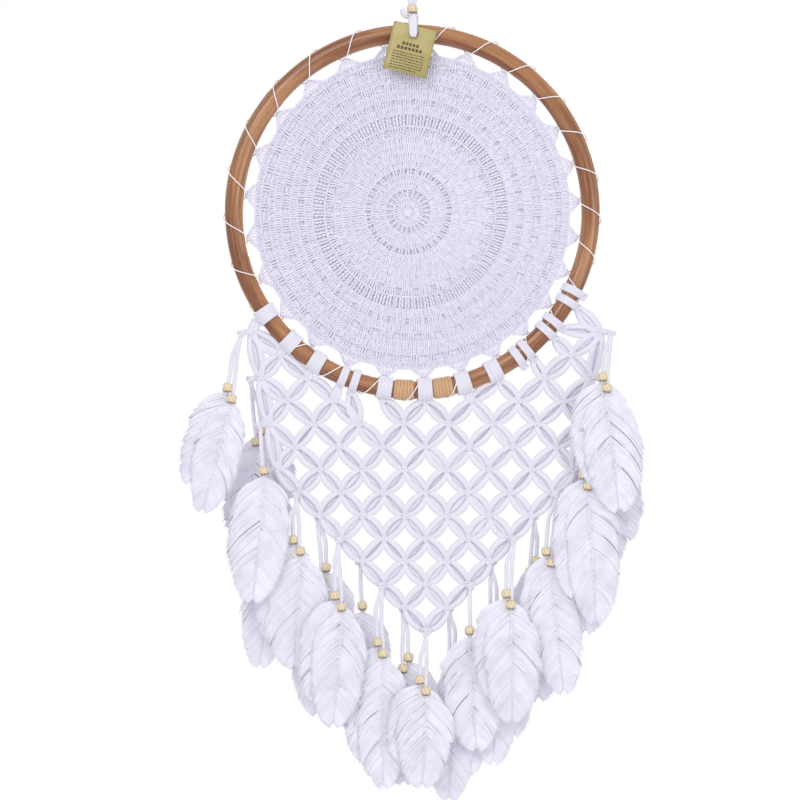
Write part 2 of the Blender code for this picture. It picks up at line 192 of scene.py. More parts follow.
def linear(hex_colour):
    """sRGB hex to linear RGBA."""
    parts = np.array([int(hex_colour[i:i + 2], 16) for i in (1, 3, 5)]) / 255
    parts = np.where(parts <= 0.04045, parts / 12.92, ((parts + 0.055) / 1.055) ** 2.4)
    return (*parts.tolist(), 1.0)


def add_node(tree, kind, inputs=None, **settings):
    """Adds a node with its settings. Inputs take a value or another node's output, by name or number."""
    made = tree.nodes.new("ShaderNode" + kind)
    for name, value in settings.items():
        setattr(made, name, value)
    for name, value in (inputs or {}).items():
        if isinstance(value, bpy.types.NodeSocket):
            tree.links.new(value, made.inputs[name])
        else:
            made.inputs[name].default_value = value
    return made


def new_finish(name, **values):
    """A material, its node tree and its shader, with values set on the shader's own sockets."""
    made = bpy.data.materials.new(name)
    made.use_nodes = True
    shader = made.node_tree.nodes["Principled BSDF"]
    for socket, value in values.items():
        shader.inputs[socket.replace("_", " ")].default_value = value
    return made, made.node_tree, shader


def on_lay(tree, along, around, start=(0, 0, 0)):
    """The shape's lay times these two scales."""
    lay = add_node(tree, "UVMap", uv_map="lay").outputs[0]
    inputs = {"Vector": lay, "Scale": (along, around, 1), "Location": start}
    return add_node(tree, "Mapping", inputs).outputs[0]


def in_place(tree):
    """The object's own coordinates, in metres."""
    return add_node(tree, "TexCoord").outputs["Object"]


def noise(tree, vector, scale, detail, **others):
    inputs = {"Vector": vector, "Scale": scale, "Detail": detail, **others}
    return add_node(tree, "TexNoise", inputs).outputs["Fac"]


def ramp(tree, factor, *stops):
    """The colour that a factor picks between stops of (place, hex colour)."""
    made = add_node(tree, "ValToRGB", {"Fac": factor})
    elements = made.color_ramp.elements
    for i, (place, colour) in enumerate(stops):
        stop = elements[i] if i < 2 else elements.new(place)
        stop.position = place
        stop.color = linear(colour)
    return made.outputs[0]


def painted(tree, shader, factor, *stops):
    """Links such a colour to the shader, and returns it."""
    colour = ramp(tree, factor, *stops)
    tree.links.new(colour, shader.inputs["Base Color"])
    return colour


def bumped(tree, shader, height, strength, distance):
    bump = add_node(tree, "Bump", {"Height": height, "Strength": strength, "Distance": distance})
    tree.links.new(bump.outputs[0], shader.inputs["Normal"])


def varnished_rattan():
    """Rattan cane, smoked and varnished: long fibres, paler streaks and a glossy skin."""
    made, tree, shader = new_finish(
        "varnished_rattan", Roughness=0.36, Coat_Weight=0.55, Coat_Roughness=0.14, IOR=1.5)
    # fibres about 1 mm wide and 60 mm long
    fibres = noise(tree, on_lay(tree, 17, 50), 1.0, 6.0, Roughness=0.62)
    # broad pale and dark stretches, a hand's width long
    stretches = noise(tree, on_lay(tree, 9, 4, (3, 1, 0)), 1.0, 3.0, Distortion=0.4)
    grain = ramp(tree, fibres, (0.36, "#4c260f"), (0.66, "#d6a070"), (0.46, "#844a20"), (0.55, "#a06033"))
    patches = ramp(tree, stretches, (0.38, "#6c3816"), (0.66, "#c48f60"))
    mixed = add_node(tree, "Mix", {0: 0.5, 6: grain, 7: patches}, data_type="RGBA")
    tree.links.new(mixed.outputs[2], shader.inputs["Base Color"])
    bumped(tree, shader, fibres, 0.35, 0.0004)
    return made


def peeled_cane():
    """Peeled rattan strip, unvarnished: straw tan with a faint satin."""
    made, tree, shader = new_finish("peeled_cane_strip", Roughness=0.5, IOR=1.48)
    fibres = noise(tree, on_lay(tree, 900, 9), 1.0, 4.0)
    painted(tree, shader, fibres, (0.32, "#a87c52"), (0.68, "#ecd0b0"), (0.5, "#d3ab83"))
    bumped(tree, shader, fibres, 0.4, 0.0002)
    return made


def spun_cotton(name, pale, shade):
    """Mercerised crochet cotton: a slanted ply, a soft sheen, cool white. The ply's height is a triangle
    wave of 400 * metres along + 2 * share around, so that it climbs 5 mm in each turn."""
    made, tree, shader = new_finish(name, Roughness=0.82, Sheen_Weight=0.25, Sheen_Roughness=0.5)
    lay = add_node(tree, "SeparateXYZ", {"Vector": on_lay(tree, 400, 2)})
    total = add_node(tree, "Math", {0: lay.outputs[0], 1: lay.outputs[1]}, operation="ADD")
    ply = add_node(tree, "Math", {0: total.outputs[0], 1: 1.0}, operation="PINGPONG")
    fuzz = noise(tree, in_place(tree), 260.0, 4.0)
    painted(tree, shader, fuzz, (0.35, shade), (0.62, pale))
    height = add_node(tree, "Math", {0: ply.outputs[0], 1: fuzz}, operation="ADD")
    bumped(tree, shader, height.outputs[0], 0.5, 0.00015)
    return made


def jersey_yarn():
    """Cut jersey yarn: a curled strip of knit, matte, with fine ribs along it and a slight fuzz."""
    made, tree, shader = new_finish(
        "white_jersey_yarn", Roughness=0.9, Sheen_Weight=0.3, Sheen_Roughness=0.6)
    knit = noise(tree, on_lay(tree, 55, 9), 1.0, 3.0, Roughness=0.6)
    fuzz = noise(tree, in_place(tree), 900.0, 2.0)
    painted(tree, shader, knit, (0.3, "#d9d6e5"), (0.65, "#e8e5f1"))
    height = add_node(tree, "Math", {0: fuzz, 1: 0.3, 2: knit}, operation="MULTIPLY_ADD")
    bumped(tree, shader, height.outputs[0], 0.55, 0.0004)
    return made


def feather_vane():
    """White down and vane: softly uneven, with a weak painted glow standing in for light through the barbs.
    Light out = the lit surface + 0.12 of its own colour as painted light, so a shaded vane never falls to
    grey."""
    made, tree, shader = new_finish(
        "white_feather", Roughness=0.85, Sheen_Weight=0.3, Sheen_Roughness=0.6, IOR=1.45,
        Emission_Strength=0.12)
    cloud = noise(tree, in_place(tree), 70.0, 5.0)
    colour = painted(tree, shader, cloud, (0.3, "#d9d7e5"), (0.62, "#e5e3ef"))
    # painted glow: the vane's colour also drives its emission, which lightens the shaded barbs
    tree.links.new(colour, shader.inputs["Emission Color"])
    return made


def feather_shaft():
    """The feather's rachis: smooth pale keratin, a little warmer than the vane."""
    made, tree, shader = new_finish("feather_shaft", Roughness=0.5, IOR=1.5)
    streaks = noise(tree, on_lay(tree, 60, 3), 1.0, 2.0)
    painted(tree, shader, streaks, (0.35, "#e6e3ea"), (0.65, "#f6f4f8"))
    return made


def turned_wood():
    """Turned birch bead, unvarnished: cream, with grain bands 2.6 mm apart and painted shade in its bore and
    at one rim.
    """
    made, tree, shader = new_finish("turned_birch", Roughness=0.48, Coat_Weight=0.12, Coat_Roughness=0.3)
    tilt = add_node(tree, "Mapping", {"Vector": in_place(tree), "Rotation": (0.5, 0.3, 0.2)}).outputs[0]
    rings = add_node(tree, "TexWave", {"Vector": tilt, "Scale": 120.0, "Distortion": 2.0, "Detail": 2.0},
                     bands_direction="X")
    grain = ramp(tree, rings.outputs["Fac"], (0.1, "#d5c29a"), (0.9, "#e9dcc0"))
    # the lay's second share leaves one rim at 0, reaches the other at 0.73 and is in the bore after that;
    # painted shade darkens the rim at 0 and the bore past 0.8
    lay = add_node(tree, "SeparateXYZ", {"Vector": on_lay(tree, 1, 1)})
    # painted shade, multiplied into the grain where the bore's shadow falls
    bore_shade = ramp(tree, lay.outputs[1], (0.0, "#977a50"), (1.0, "#977a50"), (0.2, "#ffffff"), (0.8, "#ffffff"))
    mixed = add_node(tree, "Mix", {0: 1.0, 6: grain, 7: bore_shade}, data_type="RGBA", blend_type="MULTIPLY")
    tree.links.new(mixed.outputs[2], shader.inputs["Base Color"])
    return made


def gold_card():
    """Gold-washed kraft card: fibres under a thin dull metallic print."""
    made, tree, shader = new_finish("gold_card", Roughness=0.52, Metallic=0.15)
    place = in_place(tree)
    fibres = add_node(tree, "Mapping", {"Vector": place, "Rotation": (0, 0.24, 0), "Scale": (1, 1, 5)})
    flecks = noise(tree, fibres.outputs[0], 420.0, 5.0)
    wash = noise(tree, place, 34.0, 2.0)
    both = add_node(tree, "Math", {0: flecks, 1: 0.4, 2: wash}, operation="MULTIPLY_ADD")
    painted(tree, shader, both.outputs[0], (0.45, "#a4945c"), (0.95, "#c3b884"))
    bumped(tree, shader, flecks, 0.2, 0.0001)
    return made


def printing_ink():
    """Dark brown ink, broken up where the card's fibres take it badly."""
    made, tree, shader = new_finish("brown_ink", Roughness=0.6)
    painted(tree, shader, noise(tree, in_place(tree), 1500.0, 2.0), (0.4, "#4a3c1e"), (0.75, "#766638"))
    return made


def studio_floor():
    """Matte painted floor, nearly white."""
    made, tree, shader = new_finish("painted_floor", Roughness=0.8)
    painted(tree, shader, noise(tree, in_place(tree), 3.0, 2.0), (0.3, "#ededf0"), (0.7, "#f5f5f7"))
    return made


# Shapes. A shape is (points, quads, triangles, quad_lays): a lay is the UV of each quad's corners, as
# metres along and share around.

NO_TRIANGLES = np.zeros((0, 3), int)


def unit(vectors):
    return vectors / np.maximum(np.linalg.norm(vectors, axis=-1, keepdims=True), 1e-12)


def strands(paths, radius, sides=6, reference=(0, 1, 0), flat=1.0, closed=False):
    """Tubes along paths of shape (strands, points, 3).

    The ring at a point is path + radius * (cos a * side + flat * sin a * lift), where side is the
    tangent crossed with the reference and lift is side crossed with the tangent.
    """
    paths = np.asarray(paths, float)
    count, steps = paths.shape[:2]
    if closed:
        tangents = np.roll(paths, -1, axis=1) - np.roll(paths, 1, axis=1)
    else:
        tangents = np.gradient(paths, axis=1)
    tangents = unit(tangents)
    side = unit(np.cross(tangents, np.broadcast_to(reference, paths.shape)))
    lift = np.cross(side, tangents)
    angle = (np.arange(sides) + 0.5) / sides * math.tau
    radius = np.broadcast_to(radius, paths.shape[:2])[..., None, None]
    across = np.cos(angle)[:, None] * side[:, :, None] + flat * np.sin(angle)[:, None] * lift[:, :, None]
    points = (paths[:, :, None] + radius * across).reshape(-1, 3)

    rows = steps if closed else steps - 1
    strand, row, column = np.meshgrid(np.arange(count), np.arange(rows), np.arange(sides), indexing="ij")
    after, beside = (row + 1) % steps, (column + 1) % sides

    def index(along, around):
        return (strand * steps + along) * sides + around

    quads = np.stack((index(row, column), index(after, column), index(after, beside), index(row, beside)), -1)
    lengths = np.linalg.norm(np.diff(paths, axis=1, append=paths[:, :1]), axis=-1)
    along = np.concatenate((np.zeros((count, 1)), np.cumsum(lengths, axis=1)), axis=1)
    u0, u1 = along[strand, row], along[strand, row + 1]
    v0, v1 = column / sides, (column + 1) / sides
    lays = np.stack((np.stack((u0, v0), -1), np.stack((u1, v0), -1), np.stack((u1, v1), -1),
                     np.stack((u0, v1), -1)), -2)
    triangles = NO_TRIANGLES
    if not closed:
        fan = np.arange(1, sides - 1)
        first = np.stack((np.zeros_like(fan), fan, fan + 1), -1)
        starts = (np.arange(count) * steps * sides)[:, None, None]
        triangles = np.concatenate((
            (starts + first).reshape(-1, 3),
            (starts + (steps - 1) * sides + first[:, ::-1]).reshape(-1, 3)))
    return points, quads.reshape(-1, 4), triangles, lays.reshape(-1, 4, 2)


def closed_grid(points):
    """A surface from a grid of points that closes on itself both ways, such as a turned ring."""
    rows, columns = points.shape[:2]
    row, column = np.meshgrid(np.arange(rows), np.arange(columns), indexing="ij")
    after, beside = (row + 1) % rows, (column + 1) % columns
    quads = np.stack((row * columns + column, after * columns + column,
                      after * columns + beside, row * columns + beside), -1)
    u0, u1, v0, v1 = row / rows, (row + 1) / rows, column / columns, (column + 1) / columns
    lays = np.stack((np.stack((u0, v0), -1), np.stack((u1, v0), -1), np.stack((u1, v1), -1),
                     np.stack((u0, v1), -1)), -2)
    return points.reshape(-1, 3), quads.reshape(-1, 4), NO_TRIANGLES, lays.reshape(-1, 4, 2)


def slab(front, back, size):
    """Two grids of the same size, joined round their edges. `size` is the lay's extent in metres."""
    rows, columns = front.shape[:2]
    row, column = np.meshgrid(np.arange(rows - 1), np.arange(columns - 1), indexing="ij")
    first = row * columns + column
    face = np.stack((first, first + 1, first + columns + 1, first + columns), -1).reshape(-1, 4)
    grid = np.arange(rows * columns).reshape(rows, columns)
    rim = np.concatenate((grid[0, :-1], grid[:-1, -1], grid[-1, :0:-1], grid[:0:-1, 0]))
    after, total = np.roll(rim, -1), rows * columns
    walls = np.stack((after, rim, rim + total, after + total), -1)
    quads = np.concatenate((face, face[:, ::-1] + total, walls))
    place = np.stack(np.meshgrid(np.linspace(0, 1, rows), np.linspace(0, 1, columns), indexing="ij"), -1)
    lays = np.tile(place.reshape(-1, 2)[:, ::-1] * size, (2, 1))[quads]
    points = np.concatenate((front.reshape(-1, 3), back.reshape(-1, 3)))
    return points, quads, NO_TRIANGLES, lays


def merged(shapes):
    """One shape that holds all of these."""
    shapes = list(shapes)
    starts = np.cumsum([0] + [len(shape[0]) for shape in shapes])
    return (np.concatenate([shape[0] for shape in shapes]),
            np.concatenate([shape[1] + start for shape, start in zip(shapes, starts)]),
            np.concatenate([shape[2] + start for shape, start in zip(shapes, starts)]),
            np.concatenate([shape[3] for shape in shapes]))


def make_piece(name, shape, finish, body, replaces=()):
    """Puts the shape into a mesh object that rides on the body."""
    points, quads, triangles, lays = shape
    mesh = bpy.data.meshes.new(name)
    mesh.vertices.add(len(points))
    mesh.vertices.foreach_set("co", points.astype(np.float32).ravel())
    corners = np.concatenate((quads.ravel(), triangles.ravel()))
    mesh.loops.add(len(corners))
    mesh.loops.foreach_set("vertex_index", corners.astype(np.int32))
    sizes = np.concatenate((np.full(len(quads), 4), np.full(len(triangles), 3)))
    mesh.polygons.add(len(sizes))
    mesh.polygons.foreach_set("loop_start", (np.cumsum(sizes) - sizes).astype(np.int32))
    mesh.update(calc_edges=True)
    lay = mesh.uv_layers.new(name="lay")
    flat_lays = np.concatenate((lays.reshape(-1, 2), np.zeros((triangles.size, 2))))
    lay.data.foreach_set("uv", flat_lays.astype(np.float32).ravel())
    mesh.validate()
    mesh.shade_smooth()
    mesh.materials.append(finish)
    piece = bpy.data.objects.new(name, mesh)
    bpy.context.scene.collection.objects.link(piece)
    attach(piece, body)
    if replaces:
        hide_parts(*replaces)
    return piece


def smooth_path(points, count, closed=False):
    """`count` points, evenly spaced along a Catmull-Rom curve through these."""
    points = np.asarray(points, float)
    if closed:
        points = np.concatenate((points[-1:], points, points[:2]))
    else:
        points = np.concatenate((2 * points[:1] - points[1:2], points, 2 * points[-1:] - points[-2:-1]))
    t = np.linspace(0, 1, 24, endpoint=False)[:, None]
    a, b, c, d = (points[i:len(points) - 3 + i, None] for i in range(4))
    curve = 0.5 * (2 * b + (c - a) * t + (2 * a - 5 * b + 4 * c - d) * t**2 + (3 * b - a - 3 * c + d) * t**3)
    curve = np.concatenate((curve.reshape(-1, 3), points[-2:-1]))
    along = np.concatenate(([0], np.cumsum(np.linalg.norm(np.diff(curve, axis=0), axis=1))))
    wanted = np.linspace(0, along[-1], count + 1 if closed else count)[:count]
    return np.stack([np.interp(wanted, along, curve[:, axis]) for axis in range(3)], -1)


def carried(path, start):
    """A direction across the path at each point, carried along it without twisting."""
    tangents = unit(np.gradient(path, axis=0))
    across = [unit(np.array(start, float) - tangents[0] * np.dot(start, tangents[0]))]
    for tangent in tangents[1:]:
        across.append(unit(across[-1] - tangent * np.dot(across[-1], tangent)))
    return np.array(across)


# Cane hoop and bindings


def on_hoop(degrees, radius, y=0.0):
    """Points at these angles (from +X towards +Z) and radii from the hoop's centre."""
    turn = np.radians(degrees)
    radius, y = np.broadcast_arrays(radius, y)
    return HOOP_CENTRE + np.stack(np.broadcast_arrays(radius * np.cos(turn), y, radius * np.sin(turn)), -1)


def around_cane(degrees, reach, turn):
    """Points round the cane: at `reach` from its middle, `turn` from its inner side over the front."""
    return on_hoop(degrees, HOOP_RADIUS - reach * np.cos(turn), -reach * np.sin(turn))


def make_hoop(finish):
    """The cane follows a circle. Its radius swells at the growth rings and wavers a little between."""
    gap = math.degrees(JOINT_GAP / 2 / HOOP_RADIUS)
    angles = np.linspace(JOINT_ANGLE - 360 + gap, JOINT_ANGLE - gap, 481)
    waver = 0.0001 * np.sin(np.radians(5 * angles)) + 0.00008 * np.sin(np.radians(13 * angles))
    radius = CANE_RADIUS - 0.0002 + waver
    for node in CANE_NODES:
        away = (angles - node + 180) % 360 - 180
        radius = radius + NODE_SWELL * np.exp(-(away / 0.55) ** 2)
    path = on_hoop(angles, HOOP_RADIUS)[None]
    reference = np.stack((np.cos(np.radians(angles)), 0 * angles, np.sin(np.radians(angles))), -1)
    make_piece("cane_hoop", strands(path, radius, 36, reference), finish, "hoop", ["hoop"])


def make_binding(side, finish):
    """A strip wound round the cane: the radius is a row of low arches, one for each turn, that slant by
    one turn's width round the cane. Its first and last rows close on the cane."""
    middle, half = BINDING_ANGLES[side], math.degrees(BINDING_WIDTH / 2 / HOOP_RADIUS)
    rows, columns = 12 * BINDING_TURNS + 1, 48
    along, around = np.meshgrid(np.linspace(0, 1, rows), np.arange(columns) / columns, indexing="ij")
    turns = along * BINDING_TURNS + around
    arch = np.abs(np.sin(np.pi * turns)) ** 0.6
    end = np.minimum(1, 14 * np.minimum(along, 1 - along))
    reach = CANE_RADIUS + (0.25 + 0.75 * arch) * BINDING_THICKNESS * end + 0.00012 * np.sin(9 * turns) * end
    inner = np.full((2, columns), CANE_RADIUS - 0.0006)
    reach = np.concatenate((inner[:1], reach, inner[1:]))
    along = np.concatenate((along[:1], along, along[-1:]))
    turn = np.broadcast_to(math.tau * around[:1], reach.shape)
    points = around_cane(middle - half + 2 * half * along, reach, turn)
    make_piece(f"wound_strip_{side}", closed_grid(points[:, ::-1]), finish, "hoop",
               [f"cane_binding_{side}"])


# Crochet web and its lacing


def tip_angle(place):
    """Angle of web point number `place`. The web is stretched, so its points are wider apart at the left."""
    even = 103.3 + 360 / WEB_TIPS * place
    return even + 5.2 * np.sin(np.radians(even - 155))


def on_web(radius, place, y=0.0):
    """Points of the web. The shift of its middle fades out towards the rim."""
    shift = WEB_CENTRE_SHIFT * (1 - radius / TIP_RADIUS)
    points = on_hoop(tip_angle(place), radius, y)
    points[..., 0] += shift
    return points


# Each round: inner and outer radius in millimetres, groups, posts in a group, the share of the pitch
# from a group's first post to its last at the inner and at the outer radius, and the shift in pitches.
# Between groups lie the slots and holes. A round of 0 groups is close work.
CENTRE_ROUNDS = (
    (1.6, 6.2, 0, 1, 0, 0, 0), (6.8, 11.8, 0, 1, 0, 0, 0), (12.4, 19.2, 24, 1, 0, 0, 0.5),
    (19.8, 25.2, 0, 1, 0, 0, 0), (25.8, 30.9, 0, 1, 0, 0, 0), (31.5, 37.2, 36, 2, 0.36, 0.36, 0),
    (37.8, 43.4, 0, 1, 0, 0, 0), (44.0, 50.2, 0, 1, 0, 0, 0), (50.8, 57.2, 0, 1, 0, 0, 0),
)
MIDDLE_ROUNDS = (
    (57.8, 63.9, 0, 1, 0, 0, 0), (64.5, 72.3, 27, 6, 0.52, 0.74, 0), (72.9, 83.2, 90, 2, 0.42, 0.42, 0),
    (83.8, 89.4, 0, 1, 0, 0, 0),
)
OUTER_ROUNDS = (
    (90.0, 96.4, 36, 7, 0.72, 0.72, 0.5), (97.0, 102.6, 0, 1, 0, 0, 0), (103.2, 110.6, 36, 6, 0.56, 0.50, 0),
    (111.2, 116.2, 0, 1, 0, 0, 0),
)
EDGE_ROUNDS = (
    (116.8, 121.2, 0, 1, 0, 0, 0), (121.8, 128.4, 52, 3, 0.36, 0.28, 0.5), (129.0, 133.0, 0, 1, 0, 0, 0),
)
BACK_STEP, BACK_DEPTH, OPEN_DEPTH = 0.00155, 0.00055, 0.0017
FAN_BASE, FAN_RIBS, FAN_SPREAD = 0.1332, 7, 0.33


def twisted_posts(inner, outer, place_in, place_out, cotton=COTTON, turns=1.5, steps=7):
    """Posts of two strands. Strand k runs from inner to outer radius, offset across by a * sin and in
    depth by a * cos of its turning phase, so the two twist round each other."""
    t = np.linspace(0, 1, steps)[None, None]
    strand = np.array((0, 1))[None, :, None]
    stagger = (np.arange(len(inner)) % 2)[:, None, None] / 2
    phase = np.pi * (2 * turns * t + strand + stagger)
    radius = inner[:, None, None] + (outer - inner)[:, None, None] * t
    place = place_in[:, None, None] + (place_out - place_in)[:, None, None] * t
    pitch = math.tau * np.maximum(radius, 0.002) / WEB_TIPS
    place = place + 0.75 * COTTON * np.sin(phase) / pitch
    y = 0.75 * COTTON * np.cos(phase) - 0.0003 * np.sin(np.pi * t)
    points = on_web(radius, place, y)
    return strands(points.reshape(-1, steps, 3), cotton, 5)


def chain_round(radius, stitches, amount=0.0006):
    """A ring of chain stitches: two strands in a twist, each at radius + a * sin p and depth a * cos p,
    where p goes half a turn for each stitch."""
    stitches = stitches + stitches % 2
    steps = 4 * stitches
    share = np.arange(steps) / steps
    phase = np.pi * stitches * share[None] + np.array((0, 1))[:, None] * np.pi
    reach = radius + amount * np.sin(phase)
    points = on_web(reach, WEB_TIPS * np.broadcast_to(share, reach.shape), amount * np.cos(phase) - 0.0002)
    return strands(points, 1.1 * COTTON, 4, closed=True)


def web_rounds(rounds):
    shapes = []
    for inner, outer, groups, posts, fill_in, fill_out, shift in rounds:
        inner, outer = inner / 1000, outer / 1000
        cotton = COTTON if groups else CLOSE_COTTON
        groups = groups or round(math.pi * (inner + outer) / POST)
        across = (np.arange(posts) - (posts - 1) / 2) / max(posts - 1, 1)
        place = np.arange(groups)[:, None] + shift
        waver = random.normal(0, 0.06, (groups, posts)) * POST * groups / (math.tau * outer)
        place_in, place_out = (((place + fill * across + waver) * WEB_TIPS / groups).ravel()
                               for fill in (fill_in, fill_out))
        same = np.full(place_in.shape, 1.0)
        shapes.append(twisted_posts(inner * same, outer * same, place_in, place_out, cotton))
        shapes.append(chain_round(outer + 0.0003, round(math.tau * outer / STITCH)))
    return shapes


def web_backs():
    """The backs of the stitches: rings of flat strand behind the posts, deeper where a round is open."""
    shapes = []
    opened = [(inner / 1000, outer / 1000) for inner, outer, groups, *_ in
              CENTRE_ROUNDS + MIDDLE_ROUNDS + OUTER_ROUNDS + EDGE_ROUNDS if groups]
    for radius in np.arange(0.0030, EDGE_ROUNDS[-1][1] / 1000, BACK_STEP):
        depth = OPEN_DEPTH if any(inner < radius < outer for inner, outer in opened) else BACK_DEPTH
        steps = max(16, round(math.tau * radius / 0.0045))
        share = np.arange(steps) / steps
        reach = radius + 0.00015 * np.sin(math.tau * (round(steps / 3) * share + radius / 0.004))
        points = on_web(reach, WEB_TIPS * share, depth)[None]
        shapes.append(strands(points, 0.62 * BACK_STEP, 4, flat=0.4, closed=True))
    return shapes


def web_fans():
    """A fan of ribs at each point of the web, and a scalloped chain along the edge that joins them."""
    tips = np.arange(WEB_TIPS)[:, None]
    across = np.linspace(-FAN_SPREAD, FAN_SPREAD, FAN_RIBS)[None]
    place_in = (tips + across).ravel()
    place_out = (tips + 0.16 * across).ravel()
    same = np.full(place_in.shape, 1.0)
    ribs = twisted_posts(FAN_BASE * same, (TIP_RADIUS - 0.0008) * same, place_in, place_out)
    t = np.linspace(0, 1, 15)[None]
    dip = TIP_RADIUS - 0.0010 - (TIP_RADIUS - FAN_BASE - 0.0008) * np.sin(np.pi * t) ** 0.5
    phase = 14 * np.pi * t
    scallops = []
    for turn in (0, math.pi):
        radius = dip + 0.0005 * np.sin(phase + turn)
        scallop = on_web(radius, tips + 0.05 + 0.9 * t, 0.0005 * np.cos(phase + turn))
        scallops.append(strands(scallop, COTTON, 5))
    spin = np.linspace(0, math.tau, 12, endpoint=False)[None]
    loops = on_web(TIP_RADIUS - 0.0008 + 0.0011 * np.cos(spin), tips + 0.035 * np.sin(spin),
                   np.broadcast_to(0.0, (WEB_TIPS, 12)))
    return [ribs, *scallops, strands(loops, 1.15 * COTTON, 5, closed=True)]


def web_middle():
    """The magic ring that the crochet starts from."""
    spin = np.linspace(0, math.tau, 24, endpoint=False)
    ring = on_web(0.0015 + 0 * spin, WEB_TIPS * spin / math.tau)
    return [strands(ring[None], 1.2 * COTTON, 6, closed=True)]


def make_web(finish):
    shapes = {
        "web_centre": web_middle() + web_rounds(CENTRE_ROUNDS),
        "web_long_stitches": web_rounds(MIDDLE_ROUNDS),
        "web_edge": web_rounds(EDGE_ROUNDS) + web_fans(),
        "web_stitch_backs": web_backs(),
    }
    others = [make_piece(name, merged(shape), finish, "hoop") for name, shape in shapes.items()]
    rounds = merged(web_rounds(OUTER_ROUNDS))
    outer = make_piece("web_mesh", rounds, finish, "hoop", ["crochet_web"])


def make_lacing(finish):
    """From each web point the thread crosses the front of the cane clockwise and comes back behind it."""
    turn = np.arange(26 * WEB_TIPS) / 26
    around = math.tau * turn
    dip = (LACE_REACH - LACING_RADIUS) * np.maximum(0, np.cos(around)) ** 4
    path = around_cane(tip_angle(-turn), LACING_RADIUS + dip, around)
    hoop_line = unit(np.stack((np.sin(np.radians(tip_angle(-turn))), 0 * turn,
                               -np.cos(np.radians(tip_angle(-turn)))), -1))
    make_piece("lacing_thread", strands(path[None], THREAD_RADIUS, 8, hoop_line, closed=True), finish, "hoop",
               ["web_lacing"])


# Net


def knot_place(column, row):
    spread = 1 + ROW_SPREAD * max(0, 2 - row)
    return np.array((NET_SHIFT + KNOT_STEP_X * spread * column, 0,
                     HOOP_CENTRE[2] - FIRST_ROW_DROP - KNOT_STEP_Z * row))


def is_knot(column, row):
    if (column + row) % 2 == 0 or not TOP_ROW <= row <= LAST_ROW:
        return False
    clear = HOOP_RADIUS + CANE_RADIUS + NET_EDGE
    away = np.linalg.norm(knot_place(column, row) - HOOP_CENTRE)
    return abs(column) <= min(WIDEST, LAST_ROW - row) and away > clear


def net_links(knots, bands):
    """Pairs of points that the yarn joins: each knot to the two below it, and the open top knots to
    the nearest bands."""
    links = [(place, knots[(column + side, row + 1)])
             for (column, row), place in knots.items()
             for side in (-1, 1) if (column + side, row + 1) in knots]
    for (column, row), place in knots.items():
        missing = sum((column + side, row - 1) not in knots for side in (-1, 1))
        if not missing or (abs(column) == WIDEST and (column, row - 2) in knots and missing < 2):
            continue
        away = np.linalg.norm(bands - place, axis=1)
        for nearest in np.argsort(away)[:missing]:
            if away[nearest] < 0.05:
                links.append((bands[nearest], place))
    for column in (-WIDEST, WIDEST):
        for row in range(TOP_ROW, LAST_ROW - WIDEST, 2):
            if (column, row) in knots and (column, row + 2) in knots:
                links.append((knots[(column, row)], knots[(column, row + 2)]))
    return np.array(links)


def petals(links, bow=0.0036):
    """Each link is drawn-up yarn: two strands bowed apart by bow * sin(pi t), and one straight behind."""
    steps = 15
    t = np.linspace(0, 1, steps)
    starts, ends = links[:, 0], links[:, 1]
    along = ends - starts
    length = np.linalg.norm(along, axis=1)
    across = unit(np.stack((along[:, 2], 0 * length, -along[:, 0]), -1))
    uneven = random.normal(1, 0.16, (2, len(links)))
    lift = random.normal(0, 0.0004, (3, len(links)))
    rise = np.sin(np.pi * t) ** 0.7
    shapes = []
    for k, side in enumerate((-1, 1)):
        offset = side * (0.0008 + bow * uneven[k][:, None] * rise * np.minimum(1, length / 0.026)[:, None])
        path = starts[:, None] + along[:, None] * t[None, :, None] + across[:, None] * offset[..., None]
        path[..., 1] += (-0.0008 + lift[k])[:, None] * rise
        width = YARN * (0.66 + 0.34 * rise)
        shapes.append(strands(path, np.broadcast_to(width, offset.shape), 8, flat=0.6))
    path = starts[:, None] + along[:, None] * t[None, :, None]
    path[..., 1] += 0.0016 + lift[2][:, None] * rise
    shapes.append(strands(path, 1.1 * YARN, 8, flat=0.45))
    return shapes


def net_knots(places):
    """A small overhand knot at each place: a trefoil, sin t + 2 sin 2t across and cos t - 2 cos 2t up."""
    t = np.linspace(0, math.tau, 30, endpoint=False)
    size = random.normal(0.00115, 0.00008, len(places))[:, None]
    turn = random.normal(0, 0.35, len(places))[:, None]
    x, z = size * (np.sin(t) + 2 * np.sin(2 * t)), size * (np.cos(t) - 2 * np.cos(2 * t)) * 0.8
    y = -0.0009 * np.sin(3 * t) - 0.0006 + 0 * x
    path = np.stack((x * np.cos(turn) - z * np.sin(turn), y, x * np.sin(turn) + z * np.cos(turn)), -1)
    return strands(places[:, None] + path, 0.00125, 6, reference=(0.12, 1, 0.08), closed=True)


def pendant_ties(knots):
    """The net's last stitches: a bight of yarn from each edge knot to where its string hangs."""
    shapes = []
    for number, cell in enumerate(edge_knots()):
        start, end = knots[cell], PIVOTS[f"pendant_{number + 1:02d}"]
        depth = math.copysign(LAYER_START, layer_of(number))
        route = np.array((start, (start + end) / 2 + (0, 0.6 * depth, 0.0012), end + (0, depth, 0.0008)))
        shapes.append(strands(smooth_path(route, 9)[None], 0.9 * YARN, 8, reference=(0, 1, 0.2), flat=0.8))
        shapes.append(net_knots((end + (0, depth, 0.0006))[None]))
    return shapes


